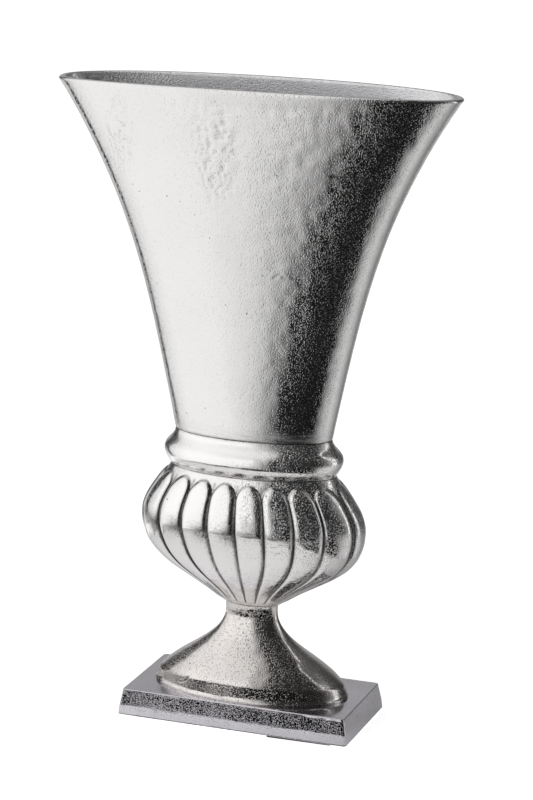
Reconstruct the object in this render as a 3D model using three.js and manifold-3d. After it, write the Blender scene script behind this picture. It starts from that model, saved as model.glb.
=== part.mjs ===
// Goblet vase of cast aluminium with a raw nickel finish.
// Every casting is oval in plan: +X runs along its length, -Y is its front and +Z is up.
// From the table up: felt pads, plinth, foot, gadrooned bowl, collar ring and trumpet.
// A tie rod draws the plinth, the foot and the bowl together, between two nuts.
// The collar ring plugs into the bowl, and the trumpet plugs into the collar ring.
// All sizes are in millimetres.

import * as THREE from "three";
import { mergeVertices } from "three/addons/utils/BufferGeometryUtils.js";
import Module from "manifold-3d";

// Heights of the stack
const padThickness = 1.2;
const plinthHeight = 20.8;
const footHeight = 70;
const bowlHeight = 109;
const collarHeight = 28.5;
const trumpetHeight = 270.5;

const plinthBase = padThickness;
const plinthTop = plinthBase + plinthHeight;
const footTop = plinthTop + footHeight;
const bowlTop = footTop + bowlHeight;
const collarTop = bowlTop + collarHeight;
const rimTop = collarTop + trumpetHeight;

// Clearance left all round between a plug and its socket, and round a thread
const socketClearance = 0.3;
const threadClearance = 0.3;

// Trumpet: half sizes at the mouth, the wall and the lip
const mouthHalfLength = 160;
const mouthHalfDepth = 42;
const mouthSquareness = 2.3;
const rimDropAtTips = 2;
const rimDropReach = 50;
const trumpetWall = 4.6;
const lipRise = 2.3;

// Trumpet's curve: how far it leans out over the first and last stretch of its height
const trumpetStemRise = 124;
const trumpetStemLeanLength = 25.5;
const trumpetStemLeanDepth = 3;
const trumpetFlareRise = 96;
const trumpetFlareLeanLength = 59.5;
const trumpetFlareLeanDepth = 6;

// Plug under the trumpet, which sits in the collar ring
const trumpetPlugDepth = 8;
const trumpetPlugWall = 3;
const trumpetPlugShoulder = 4;

// Collar ring: half sizes at its groove, its ridge and its foot
const grooveHalfLength = 64;
const grooveHalfDepth = 28.8;
const ridgeHalfLength = 72.9;
const ridgeHalfDepth = 37.7;
const collarFootHalfLength = 67.7;
const collarFootHalfDepth = 32.5;
const ridgeRise = 12;
const collarLand = 3;
const collarPlugDepth = 6;
const collarPlugWall = 3.2;

// Collar ring's curve: how it leaves its foot, its ridge and its groove before it bends
const collarFootFlare = 1.4;
const collarFootRise = 3;
const ridgeRunDown = 4.7;
const ridgeRunUp = 8;
const grooveFlare = 0.2;
const grooveRunDown = 7.2;

// Gadrooned bowl: half sizes in its grooves at the widest place and at its foot
const bowlHalfLength = 88.5;
const bowlHalfDepth = 39.5;
const bowlWidestRise = 66;
const bowlFootHalfLength = 23.3;
const bowlFootHalfDepth = 11.6;
const bowlWall = 5;
const bowlFloorRise = 14;

// Bowl's curve: how it leaves its foot, its widest place and its mouth before it bends
const bowlFootLeanLength = 33;
const bowlFootLeanDepth = 12.3;
const bowlFootLeanRise = 25.8;
const bellyRunDown = 38;
const bellyDrawDepth = 11;
const bellyRunUp = 17;
const bellySwellDepth = 1.8;
const bowlMouthLeanLength = 5.7;
const bowlMouthLeanDepth = 6;
const bowlMouthRunDown = 13;

// Lobes of the bowl
const lobeCount = 18;
const lobeRise = 3.5;
const lobeTopDrop = 6;
const lobeArchRise = 12;
const lobeFootRise = 1.5;
const lobeFootFade = 3;

// Foot: half sizes at the neck, the shoulder and the base
const neckHalfLength = 21.5;
const neckHalfDepth = 10.7;
const neckBandHeight = 6;
const neckBandFlare = 0.4;
const shoulderHalfLength = 74.7;
const shoulderHalfDepth = 37.6;
const shoulderRise = 16.5;
const shoulderDipAtEnds = 6;
const shoulderDipReach = 25;
const skirtTopHalfLength = 76.6;
const skirtTopHalfDepth = 39;
const skirtTopRise = 13.2;
const skirtFootHalfLength = 78.7;
const skirtFootHalfDepth = 40.7;
const skirtFootRise = 3.8;
const footHalfLength = 79.8;
const footHalfDepth = 41.6;
const footLedge = 2.2;
const shoulderLeanLength = 16.6;
const shoulderLeanDepth = 7.3;
const shoulderLeanRise = 11.4;
const neckRunDown = 22;
const footWall = 6;
const footRoofRise = 36;
const tenonHalfLength = 15;
const tenonHalfDepth = 7;
const tenonHeight = 4;

// Plinth: outer size at its lower edge, the draft of its sides and its pocket
const plinthLength = 190;
const plinthDepth = 94;
const plinthDraft = 3;
const plinthCornerRadius = 2.5;
const plinthEdgeRadius = 0.8;
const pocketLength = 130;
const pocketDepth = 50;
const pocketHeight = 12;
const pocketCornerRadius = 8;
const registerHeight = 2;
const registerRelief = 2;

// Tie rod, nuts and washers, of the M8 size
const rodDiameter = 8;
const rodHoleDiameter = 9;
const rodEndPastNut = 1.5;
const rodInCapNut = 9.5;
const nutAcrossFlats = 13;
const nutHeight = 6.5;
const capNutHeight = 15;
const capNutBoreDepth = 10.5;
const capNutLedge = 0.3;
const sealDiameter = 20;
const sealThickness = 2;
const bowlWasherDiameter = 18;
const bowlWasherThickness = 1.6;
const plinthWasherDiameter = 24;
const plinthWasherThickness = 2;

// Felt pads under the plinth; the front right one was stuck on a little askew
const padLength = 52;
const padWidth = 8;
const padFromCentre = 56;
const padInset = 4;
const askewPadInset = 0.7;
const askewPadTurn = THREE.MathUtils.degToRad(1.4);

// How finely the ovals are cut round, and the curves of each piece in height
const lobeSteps = 6;
const castingSteps = 48;
const boreSteps = 24;
const cornerSteps = 4;
const trumpetLevels = 10;
const trumpetBoreLevels = 8;
const collarLowerLevels = 3;
const collarUpperLevels = 6;
const bowlLevels = 8;
const bowlBoreUpperLevels = 3;
const bowlBoreLowerLevels = 4;
const footLevels = 10;
const footBoreLevels = 4;
const domeLevels = 6;

// How far a cutter runs on past the face that it cuts
const cutterOverrun = 1;

// Finishes
const nickel = { color: 0xc9c6c4, roughness: 0.28, metalness: 1 };
const castNickel = { color: 0xb9b6b5, roughness: 0.38, metalness: 1 };
const steel = { color: 0x9fa1a4, roughness: 0.35, metalness: 1 };
const rubber = { color: 0x1c1c1d, roughness: 0.8, metalness: 0 };
const felt = { color: 0x17161a, roughness: 0.95, metalness: 0 };

const wasm = await Module();
wasm.setup();

// Closed oval |x/a|^n + |y/b|^n = 1, run from its front centre towards +X
class Oval extends THREE.Curve {
  constructor(halfLength, halfDepth, squareness = 2) {
    super();
    this.halfLength = halfLength;
    this.halfDepth = halfDepth;
    this.squareness = squareness;
    this.arcLengthDivisions = 720;
  }

  getPoint(share, target = new THREE.Vector3()) {
    const turn = (share - 0.25) * 2 * Math.PI;
    const along = Math.cos(turn);
    const across = Math.sin(turn);
    const power = 2 / this.squareness;
    target.x = this.halfLength * Math.sign(along) * Math.abs(along) ** power;
    target.y = this.halfDepth * Math.sign(across) * Math.abs(across) ** power;
    return target;
  }

  outwardAt(point) {
    const power = this.squareness - 1;
    const x = Math.sign(point.x) * Math.abs(point.x / this.halfLength) ** power;
    const y = Math.sign(point.y) * Math.abs(point.y / this.halfDepth) ** power;
    return new THREE.Vector3(x / this.halfLength, y / this.halfDepth, 0).normalize();
  }
}

// One level of a casting: half length, half depth, height and squareness of the oval there
function row(length, depth, z, squareness = 2) {
  return { length, depth, z, squareness };
}

// Curve of a casting's side, through points of half length, half depth and height
function sideCurve(...points) {
  return new THREE.CubicBezierCurve3(...points.map((point) => new THREE.Vector3(...point)));
}

// Levels along a side curve, moved inwards by a wall that is measured square to the side
function rowsAlong(curve, steps, wall = 0, from = 0, to = 1) {
  const rows = [];
  for (let i = 0; i <= steps; i++) {
    const share = from + ((to - from) * i) / steps;
    const point = curve.getPoint(share);
    const lean = curve.getTangent(share);
    const lengthInset = wall * Math.hypot(1, lean.x / lean.z);
    const depthInset = wall * Math.hypot(1, lean.y / lean.z);
    rows.push(row(point.x - lengthInset, point.y - depthInset, point.z));
  }
  return rows;
}

// Share along a rising side curve at which it reaches a height
function shareAtHeight(curve, height) {
  let low = 0;
  let high = 1;
  for (let i = 0; i < 40; i++) {
    const middle = (low + high) / 2;
    if (curve.getPoint(middle).z < height) low = middle;
    else high = middle;
  }
  return low;
}

// Ring of points on the oval of one level, closer together where the oval bends most
function ring(level, steps) {
  const oval = new Oval(level.length, level.depth, level.squareness);
  const points = oval.getPoints(steps).slice(0, steps);
  for (const point of points) point.z = level.z;
  return points;
}

// Ring of the bowl: its points are evenly spaced, so that all its lobes are of one width
function evenRing(level, steps, shape = () => {}) {
  const oval = new Oval(level.length, level.depth, level.squareness);
  const points = oval.getSpacedPoints(steps).slice(0, steps);
  points.forEach((point, i) => {
    point.z = level.z;
    shape(point, i / steps, oval);
  });
  return points;
}

// Skin over a run of rings, each seen anticlockwise from above.
// An open run is closed by a flat cap at each end; a looped one goes round to its first ring.
function skin(rings, looped = false) {
  const steps = rings[0].length;
  const positions = rings.flat().flatMap((point) => point.toArray());
  const faces = [];
  const last = looped ? rings.length : rings.length - 1;
  for (let level = 0; level < last; level++) {
    const here = level * steps;
    const above = ((level + 1) % rings.length) * steps;
    for (let i = 0; i < steps; i++) {
      const next = (i + 1) % steps;
      faces.push(here + i, here + next, above + next);
      faces.push(here + i, above + next, above + i);
    }
  }
  if (!looped) {
    const lowCentre = positions.length / 3;
    positions.push(0, 0, rings[0][0].z);
    positions.push(0, 0, rings.at(-1)[0].z);
    const lastRing = (rings.length - 1) * steps;
    for (let i = 0; i < steps; i++) {
      const next = (i + 1) % steps;
      faces.push(lowCentre, next, i);
      faces.push(lowCentre + 1, lastRing + i, lastRing + next);
    }
  }
  const geometry = new THREE.BufferGeometry();
  geometry.setAttribute("position", new THREE.Float32BufferAttribute(positions, 3));
  geometry.setIndex(faces);
  return geometry;
}

function solidOf(geometry) {
  const bare = geometry.clone();
  bare.deleteAttribute("normal");
  bare.deleteAttribute("uv");
  const merged = mergeVertices(bare, 1e-4);
  const vertProperties = new Float32Array(merged.attributes.position.array);
  const triVerts = new Uint32Array(merged.index.array);
  return new wasm.Manifold(new wasm.Mesh({ numProp: 3, vertProperties, triVerts }));
}

function geometryOf(solid) {
  const mesh = solid.getMesh();
  const geometry = new THREE.BufferGeometry();
  geometry.setAttribute("position", new THREE.BufferAttribute(mesh.vertProperties, 3));
  geometry.setIndex(new THREE.BufferAttribute(mesh.triVerts, 1));
  return geometry;
}

// Upright round post between two heights, as a tool to drill with or as a rod
function post(diameter, from, to) {
  const level = (z) => ring(row(diameter / 2, diameter / 2, z), boreSteps);
  return skin([level(from), level(to)]);
}

// Upright ring between two heights, such as a washer
function flatRing(diameter, boreDiameter, from, to) {
  const level = (width, z) => ring(row(width / 2, width / 2, z), boreSteps);
  const levels = [
    level(diameter, from), level(diameter, to), level(boreDiameter, to), level(boreDiameter, from),
  ];
  return skin(levels, true);
}

// Rectangle with rounded corners, from its front right corner round towards the back
function roundedRectangle(length, depth, radius, z) {
  const points = [];
  const corners = [[1, -1], [1, 1], [-1, 1], [-1, -1]];
  corners.forEach(([alongSide, acrossSide], corner) => {
    const x = alongSide * (length / 2 - radius);
    const y = acrossSide * (depth / 2 - radius);
    for (let i = 0; i <= cornerSteps; i++) {
      const turn = (Math.PI / 2) * (corner - 1 + i / cornerSteps);
      points.push(new THREE.Vector3(x + radius * Math.cos(turn), y + radius * Math.sin(turn), z));
    }
  });
  return points;
}

// Trumpet: a flared tube with a rounded lip and a plug below
const trumpetBoreHalfLength = grooveHalfLength - collarLand;
const trumpetBoreHalfDepth = grooveHalfDepth - collarLand;

function lowerTips(point) {
  const reach = Math.max(0, point.z - (rimTop - rimDropReach)) / rimDropReach;
  point.z -= rimDropAtTips * (point.x / mouthHalfLength) ** 2 * reach ** 2;
  return point;
}

function trumpetSquareness(z) {
  return 2 + (mouthSquareness - 2) * ((z - collarTop) / trumpetHeight);
}

function makeTrumpet() {
  const lipBase = rimTop - lipRise;
  const side = sideCurve(
    [grooveHalfLength, grooveHalfDepth, collarTop],
    [
      grooveHalfLength + trumpetStemLeanLength,
      grooveHalfDepth + trumpetStemLeanDepth,
      collarTop + trumpetStemRise,
    ],
    [
      mouthHalfLength - trumpetFlareLeanLength,
      mouthHalfDepth - trumpetFlareLeanDepth,
      lipBase - trumpetFlareRise,
    ],
    [mouthHalfLength, mouthHalfDepth, lipBase],
  );
  const outer = rowsAlong(side, trumpetLevels);
  const shoulder = shareAtHeight(side, collarTop + trumpetPlugShoulder + trumpetPlugWall);
  const inner = rowsAlong(side, trumpetBoreLevels, trumpetWall, 1, shoulder);
  const lip = [];
  for (const turn of [0.25, 0.5, 0.75]) {
    const inset = (1 - Math.cos(turn * Math.PI)) / 2;
    const length = THREE.MathUtils.lerp(mouthHalfLength, inner[0].length, inset);
    const depth = THREE.MathUtils.lerp(mouthHalfDepth, inner[0].depth, inset);
    lip.push(row(length, depth, lipBase + lipRise * Math.sin(turn * Math.PI)));
  }
  for (const level of [...outer, ...lip, ...inner]) level.squareness = trumpetSquareness(level.z);

  const plugHalfLength = trumpetBoreHalfLength - socketClearance;
  const plugHalfDepth = trumpetBoreHalfDepth - socketClearance;
  const insideLength = plugHalfLength - trumpetPlugWall;
  const insideDepth = plugHalfDepth - trumpetPlugWall;
  const levels = [
    row(plugHalfLength, plugHalfDepth, collarTop - trumpetPlugDepth),
    row(plugHalfLength, plugHalfDepth, collarTop),
    ...outer,
    ...lip,
    ...inner,
    row(insideLength, insideDepth, collarTop + trumpetPlugShoulder),
    row(insideLength, insideDepth, collarTop - trumpetPlugDepth),
  ];
  return skin(levels.map((level) => ring(level, castingSteps).map(lowerTips)), true);
}

// Bowl's side, taken in its grooves; the lobes swell out of it
const bowlWidest = footTop + bowlWidestRise;
const bowlLowerSide = sideCurve(
  [bowlFootHalfLength, bowlFootHalfDepth, footTop],
  [
    bowlFootHalfLength + bowlFootLeanLength,
    bowlFootHalfDepth + bowlFootLeanDepth,
    footTop + bowlFootLeanRise,
  ],
  [bowlHalfLength, bowlHalfDepth - bellyDrawDepth, bowlWidest - bellyRunDown],
  [bowlHalfLength, bowlHalfDepth, bowlWidest],
);
const bowlUpperSide = sideCurve(
  [bowlHalfLength, bowlHalfDepth, bowlWidest],
  [bowlHalfLength, bowlHalfDepth + bellySwellDepth, bowlWidest + bellyRunUp],
  [
    collarFootHalfLength + bowlMouthLeanLength,
    collarFootHalfDepth + bowlMouthLeanDepth,
    bowlTop - bowlMouthRunDown,
  ],
  [collarFootHalfLength, collarFootHalfDepth, bowlTop],
);
const bowlFloor = footTop + bowlFloorRise;
const bowlMouth = rowsAlong(bowlUpperSide, 1, bowlWall, 1, 0)[0];

// Gadroon: an arch in plan that rounds over at its top and fades out just above the neck
const widestLobe = new Oval(bowlHalfLength, bowlHalfDepth).getLength() / lobeCount;

function swellLobe(point, share, oval) {
  const across = 2 * ((share * lobeCount) % 1) - 1;
  const archBase = bowlTop - lobeTopDrop - lobeArchRise;
  const over = Math.max(0, point.z - archBase) / lobeArchRise;
  const fade = THREE.MathUtils.clamp((point.z - footTop - lobeFootRise) / lobeFootFade, 0, 1);
  const swell = Math.sqrt(Math.max(0, 1 - across ** 2 - over ** 2));
  const slimness = oval.getLength() / lobeCount / widestLobe;
  point.addScaledVector(oval.outwardAt(point), lobeRise * swell * slimness * fade);
}

function makeBowl() {
  const outer = [
    ...rowsAlong(bowlLowerSide, bowlLevels),
    ...rowsAlong(bowlUpperSide, bowlLevels).slice(1),
  ];
  const floorShare = shareAtHeight(bowlLowerSide, bowlFloor);
  const inner = [
    ...rowsAlong(bowlUpperSide, bowlBoreUpperLevels, bowlWall, 1, 0),
    ...rowsAlong(bowlLowerSide, bowlBoreLowerLevels, bowlWall, 1, floorShare).slice(1),
  ];
  const bowlSteps = lobeCount * lobeSteps;
  const rings = [
    ...outer.map((level) => evenRing(level, bowlSteps, swellLobe)),
    ...inner.map((level) => evenRing(level, bowlSteps)),
  ];
  const socketHalfLength = tenonHalfLength + socketClearance;
  const socketHalfDepth = tenonHalfDepth + socketClearance;
  const socketRoof = footTop + tenonHeight + socketClearance;
  const socket = skin([
    ring(row(socketHalfLength, socketHalfDepth, footTop - cutterOverrun), castingSteps),
    ring(row(socketHalfLength, socketHalfDepth, socketRoof), castingSteps),
  ]);
  const casting = solidOf(skin(rings))
    .subtract(solidOf(socket))
    .subtract(solidOf(post(rodHoleDiameter, footTop, bowlFloor + cutterOverrun)));
  return geometryOf(casting);
}

// Collar ring: a plug below for the bowl and a socket above for the trumpet
function makeCollar() {
  const ridge = bowlTop + ridgeRise;
  const lowerSide = sideCurve(
    [collarFootHalfLength, collarFootHalfDepth, bowlTop],
    [
      collarFootHalfLength + collarFootFlare,
      collarFootHalfDepth + collarFootFlare,
      bowlTop + collarFootRise,
    ],
    [ridgeHalfLength, ridgeHalfDepth, ridge - ridgeRunDown],
    [ridgeHalfLength, ridgeHalfDepth, ridge],
  );
  const upperSide = sideCurve(
    [ridgeHalfLength, ridgeHalfDepth, ridge],
    [ridgeHalfLength, ridgeHalfDepth, ridge + ridgeRunUp],
    [
      grooveHalfLength + grooveFlare,
      grooveHalfDepth + grooveFlare,
      collarTop - grooveRunDown,
    ],
    [grooveHalfLength, grooveHalfDepth, collarTop],
  );
  const plugHalfLength = bowlMouth.length - socketClearance;
  const plugHalfDepth = bowlMouth.depth - socketClearance;
  const insideLength = plugHalfLength - collarPlugWall;
  const insideDepth = plugHalfDepth - collarPlugWall;
  const seat = collarTop - trumpetPlugDepth - socketClearance;
  const levels = [
    row(plugHalfLength, plugHalfDepth, bowlTop - collarPlugDepth),
    row(plugHalfLength, plugHalfDepth, bowlTop),
    ...rowsAlong(lowerSide, collarLowerLevels),
    ...rowsAlong(upperSide, collarUpperLevels).slice(1),
    row(trumpetBoreHalfLength, trumpetBoreHalfDepth, collarTop),
    row(trumpetBoreHalfLength, trumpetBoreHalfDepth, seat),
    row(insideLength, insideDepth, seat),
    row(insideLength, insideDepth, bowlTop - collarPlugDepth),
  ];
  return skin(levels.map((level) => ring(level, castingSteps)), true);
}

// Foot: a hollow bell with a solid neck, a tenon on top and a bore for the tie rod
const footBoreHalfLength = footHalfLength - footWall;
const footBoreHalfDepth = footHalfDepth - footWall;

// The foot's shoulder runs lower at the two ends than at the front and the back
function dipEnds(point) {
  const rise = point.z - plinthTop;
  const below = THREE.MathUtils.clamp((rise - footLedge) / (shoulderRise - footLedge), 0, 1);
  const above = THREE.MathUtils.clamp(1 - (rise - shoulderRise) / shoulderDipReach, 0, 1);
  point.z -= shoulderDipAtEnds * (point.x / footHalfLength) ** 2 * below * above ** 2;
  return point;
}

function makeFoot() {
  const neckBase = footTop - neckBandHeight;
  const shoulder = plinthTop + shoulderRise;
  const flare = sideCurve(
    [shoulderHalfLength, shoulderHalfDepth, shoulder],
    [
      shoulderHalfLength - shoulderLeanLength,
      shoulderHalfDepth - shoulderLeanDepth,
      shoulder + shoulderLeanRise,
    ],
    [neckHalfLength, neckHalfDepth, neckBase - neckRunDown],
    [neckHalfLength, neckHalfDepth, neckBase],
  );
  const roofShare = shareAtHeight(flare, plinthTop + footRoofRise);
  const hollow = [
    ...rowsAlong(flare, footBoreLevels, footWall, roofShare, 0),
    row(footBoreHalfLength, footBoreHalfDepth, plinthTop + registerHeight + registerRelief),
    row(footBoreHalfLength, footBoreHalfDepth, plinthTop),
  ];
  const outer = [
    row(footHalfLength, footHalfDepth, plinthTop),
    row(footHalfLength, footHalfDepth, plinthTop + footLedge),
    row(skirtFootHalfLength, skirtFootHalfDepth, plinthTop + skirtFootRise),
    row(skirtTopHalfLength, skirtTopHalfDepth, plinthTop + skirtTopRise),
    ...rowsAlong(flare, footLevels),
    row(neckHalfLength + neckBandFlare, neckHalfDepth + neckBandFlare, footTop),
    row(tenonHalfLength, tenonHalfDepth, footTop),
    row(tenonHalfLength, tenonHalfDepth, footTop + tenonHeight),
  ];
  const rings = [...hollow, ...outer].map((level) => ring(level, castingSteps).map(dipEnds));
  const drill = post(rodHoleDiameter, plinthTop, footTop + tenonHeight + cutterOverrun);
  return geometryOf(solidOf(skin(rings)).subtract(solidOf(drill)));
}

// Plinth: a drafted block with a register for the foot on top and a pocket for the nut below
const pocketRoof = plinthBase + pocketHeight;

function makePlinth() {
  const draftAt = (z) => (plinthDraft * (z - plinthBase)) / plinthHeight;
  const outline = (z, inset) => {
    const length = plinthLength - 2 * (draftAt(z) + inset);
    const depth = plinthDepth - 2 * (draftAt(z) + inset);
    return roundedRectangle(length, depth, plinthCornerRadius, z);
  };
  const halfwayInset = plinthEdgeRadius * (1 - Math.SQRT1_2);
  const block = skin([
    outline(plinthBase, 0),
    outline(plinthTop - plinthEdgeRadius, 0),
    outline(plinthTop - halfwayInset, halfwayInset),
    outline(plinthTop, plinthEdgeRadius),
  ]);
  const registerHalfLength = footBoreHalfLength - socketClearance;
  const registerHalfDepth = footBoreHalfDepth - socketClearance;
  const registerTop = plinthTop + registerHeight;
  const register = skin([
    ring(row(registerHalfLength, registerHalfDepth, pocketRoof), castingSteps),
    ring(row(registerHalfLength, registerHalfDepth, registerTop), castingSteps),
  ]);
  const pocketMouth = plinthBase - cutterOverrun;
  const pocket = skin([
    roundedRectangle(pocketLength, pocketDepth, pocketCornerRadius, pocketMouth),
    roundedRectangle(pocketLength, pocketDepth, pocketCornerRadius, pocketRoof),
  ]);
  const drill = post(rodHoleDiameter, plinthBase, registerTop + cutterOverrun);
  const casting = solidOf(block)
    .add(solidOf(register))
    .subtract(solidOf(pocket))
    .subtract(solidOf(drill));
  return geometryOf(casting);
}

// Levels of the fastenings, seated on the bowl's floor and on the pocket's roof
const boreDiameter = rodDiameter + 2 * threadClearance;
const sealTop = bowlFloor + sealThickness;
const bowlWasherTop = sealTop + bowlWasherThickness;
const plinthWasherBase = pocketRoof - plinthWasherThickness;
const lockNutBase = plinthWasherBase - nutHeight;
const rodBase = lockNutBase - rodEndPastNut;
const rodTop = bowlWasherTop + rodInCapNut;

// Six-sided body of a nut, with two of its corners along X
function hexagonBody(base) {
  const corner = new THREE.Vector2(nutAcrossFlats / Math.sqrt(3), 0);
  const centre = new THREE.Vector2();
  const corners = [0, 1, 2, 3, 4, 5].map((i) => {
    return corner.clone().rotateAround(centre, (i * Math.PI) / 3);
  });
  const outline = new THREE.Shape(corners);
  const body = new THREE.ExtrudeGeometry(outline, { depth: nutHeight, bevelEnabled: false });
  return body.translate(0, 0, base);
}

function makeNut(base) {
  const bore = post(boreDiameter, base - cutterOverrun, base + nutHeight + cutterOverrun);
  return geometryOf(solidOf(hexagonBody(base)).subtract(solidOf(bore)));
}

// Cap nut: a six-sided body with a dome over it and a blind bore
function makeCapNut(base) {
  const domeRadius = nutAcrossFlats / 2 - capNutLedge;
  const domeRise = capNutHeight - nutHeight;
  const levels = [row(domeRadius, domeRadius, base + nutHeight / 2)];
  for (let i = 0; i < domeLevels; i++) {
    const turn = (i / domeLevels) * (Math.PI / 2);
    const radius = domeRadius * Math.cos(turn);
    levels.push(row(radius, radius, base + nutHeight + domeRise * Math.sin(turn)));
  }
  const dome = skin(levels.map((level) => ring(level, boreSteps)));
  const bore = post(boreDiameter, base - cutterOverrun, base + capNutBoreDepth);
  return geometryOf(solidOf(hexagonBody(base)).add(solidOf(dome)).subtract(solidOf(bore)));
}

function makePad(alongSide, acrossSide) {
  const askew = alongSide > 0 && acrossSide < 0;
  const inset = askew ? askewPadInset : padInset;
  const pad = new THREE.BoxGeometry(padLength, padWidth, padThickness);
  pad.rotateZ(askew ? askewPadTurn : 0);
  const y = acrossSide * (plinthDepth / 2 - inset - padWidth / 2);
  pad.translate(alongSide * padFromCentre, y, padThickness / 2);
  return pad;
}

const vase = new THREE.Group();

function addPiece(name, geometry, finish) {
  const mesh = new THREE.Mesh(geometry, new THREE.MeshStandardMaterial(finish));
  mesh.name = name;
  vase.add(mesh);
}

addPiece("trumpet", makeTrumpet(), nickel);
addPiece("collar_ring", makeCollar(), nickel);
addPiece("gadrooned_bowl", makeBowl(), nickel);
addPiece("pedestal_foot", makeFoot(), castNickel);
addPiece("plinth", makePlinth(), castNickel);
addPiece("tie_rod", post(rodDiameter, rodBase, rodTop), steel);
addPiece("sealing_washer", flatRing(sealDiameter, boreDiameter, bowlFloor, sealTop), rubber);
addPiece("bowl_washer", flatRing(bowlWasherDiameter, boreDiameter, sealTop, bowlWasherTop), steel);
addPiece("cap_nut", makeCapNut(bowlWasherTop), steel);
addPiece(
  "plinth_washer",
  flatRing(plinthWasherDiameter, boreDiameter, plinthWasherBase, pocketRoof),
  steel,
);
addPiece("lock_nut", makeNut(lockNutBase), steel);
addPiece("felt_pad_front_right", makePad(1, -1), felt);
addPiece("felt_pad_front_left", makePad(-1, -1), felt);
addPiece("felt_pad_back_right", makePad(1, 1), felt);
addPiece("felt_pad_back_left", makePad(-1, 1), felt);

export default vase;
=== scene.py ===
# %% [markdown]
# # A goblet vase in raw nickel
# The vase is a stack of sand castings: a plinth, a bell-shaped foot, a bowl with
# eighteen lobes, a collar ring and a wide oval trumpet. All but the plinth are
# oval in plan, long from left to right and narrow from front to back.
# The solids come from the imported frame. This lesson gives them their fine
# surface: rounded edges, hand-ground waves, casting grain and the finish.

# %% Open the frame
from math import cos, pi, radians, sin, tan

import bpy
import numpy as np
from mathutils import Matrix, Vector, noise


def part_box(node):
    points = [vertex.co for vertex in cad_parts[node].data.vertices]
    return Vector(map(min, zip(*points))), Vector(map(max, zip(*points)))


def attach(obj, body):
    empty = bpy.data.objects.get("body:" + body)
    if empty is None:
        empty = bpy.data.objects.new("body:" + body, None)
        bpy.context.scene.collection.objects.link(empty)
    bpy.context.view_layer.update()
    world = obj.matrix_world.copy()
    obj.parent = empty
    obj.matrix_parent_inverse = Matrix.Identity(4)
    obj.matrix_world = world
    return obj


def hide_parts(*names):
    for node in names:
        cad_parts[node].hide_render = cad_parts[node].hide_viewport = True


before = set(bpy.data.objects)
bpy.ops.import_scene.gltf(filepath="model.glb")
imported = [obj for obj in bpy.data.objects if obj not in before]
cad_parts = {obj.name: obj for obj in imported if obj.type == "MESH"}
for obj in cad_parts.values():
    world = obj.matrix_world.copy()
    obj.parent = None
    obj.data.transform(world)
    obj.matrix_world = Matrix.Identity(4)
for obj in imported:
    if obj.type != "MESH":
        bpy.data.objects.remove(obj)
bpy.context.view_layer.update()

# %% [markdown]
# ## The camera
# The photograph was taken from a little right of the front and from above, with
# a long lens. Its place was worked out from the plinth's corners and the rim, so
# a point on the vase lands on the pixel where the photograph has it.
# The small shift says that the picture was cropped off centre.

# %% Camera
scene = bpy.context.scene


def in_scene(name, data):
    thing = bpy.data.objects.new(name, data)
    scene.collection.objects.link(thing)
    return thing


CAMERA_TURN = radians(20.329)
CAMERA_RISE = radians(14.83)
CAMERA_ROLL = radians(0.564)
CAMERA_DISTANCE = 2.13533
AIM = Vector((0, 0, 0.25))
LENS = 124.87
CROP_SHIFT = (0.0158, 0.0083)

back = Vector((
    sin(CAMERA_TURN) * cos(CAMERA_RISE),
    -cos(CAMERA_TURN) * cos(CAMERA_RISE),
    sin(CAMERA_RISE),
))
right = Vector((cos(CAMERA_TURN), sin(CAMERA_TURN), 0))
up = back.cross(right)
tilted_right = right * cos(CAMERA_ROLL) + up * sin(CAMERA_ROLL)
tilted_up = up * cos(CAMERA_ROLL) - right * sin(CAMERA_ROLL)

camera = in_scene("camera", bpy.data.cameras.new("camera"))
scene.camera = camera
tilt = Matrix((tilted_right, tilted_up, back)).transposed()
camera.matrix_world = Matrix.Translation(AIM + back * CAMERA_DISTANCE) @ tilt.to_4x4()
camera.data.sensor_width = 36
camera.data.lens = LENS
camera.data.shift_x, camera.data.shift_y = CROP_SHIFT
camera.data.clip_end = 50
print("camera at", tuple(round(v, 3) for v in camera.location))

# %% [markdown]
# ## How an oval casting is drawn
# A turned vase would be spun from one profile. This one is oval, so it takes two
# profiles at once: half its length and half its depth at each height.
# Both follow one curve, and a ring of points is laid at each step along it.
# The rings are then skinned into a closed wall, outside up and inside down, the
# way the sand mould closes round the metal. All drawing is in millimetres.

# %% Rings and curves
MM = 0.001
PAD, PLINTH, FOOT, BOWL, COLLAR, TRUMPET = 1.2, 20.8, 70.0, 109.0, 28.5, 270.5
plinth_base = PAD
plinth_top = plinth_base + PLINTH
foot_top = plinth_top + FOOT
bowl_top = foot_top + BOWL
collar_top = bowl_top + COLLAR
rim_top = collar_top + TRUMPET
HOLE = (4.5, 4.5)
FIT = 0.3


def oval_ring(length, depth, height, squareness=2.0, count=360):
    """Points of |x/a|^n + |y/b|^n = 1, from the front centre towards the right"""
    turn = np.arange(count) * (2 * np.pi / count) - np.pi / 2
    along, across = np.cos(turn), np.sin(turn)
    power = 2 / squareness
    x = length * np.sign(along) * np.abs(along) ** power
    y = depth * np.sign(across) * np.abs(across) ** power
    return np.stack([x, y, np.full(count, float(height))], 1)


def side(points, steps, wall=0.0, start=0.0, end=1.0):
    """Levels (half length, half depth, height) on a curve, moved in by the wall

    The curve runs from the first point to the last. The two between pull it.
    """
    a, b, c, d = (np.array(p, float) for p in points)
    t = np.linspace(start, end, steps + 1)[:, None]
    place = (1 - t) ** 3 * a + 3 * (1 - t) ** 2 * t * b + 3 * (1 - t) * t**2 * c + t**3 * d
    lean = 3 * (1 - t) ** 2 * (b - a) + 6 * (1 - t) * t * (c - b) + 3 * t**2 * (d - c)
    inset = wall * np.hypot(1, lean[:, :2] / lean[:, 2:])
    return np.concatenate([place[:, :2] - inset, place[:, 2:]], 1)


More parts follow.
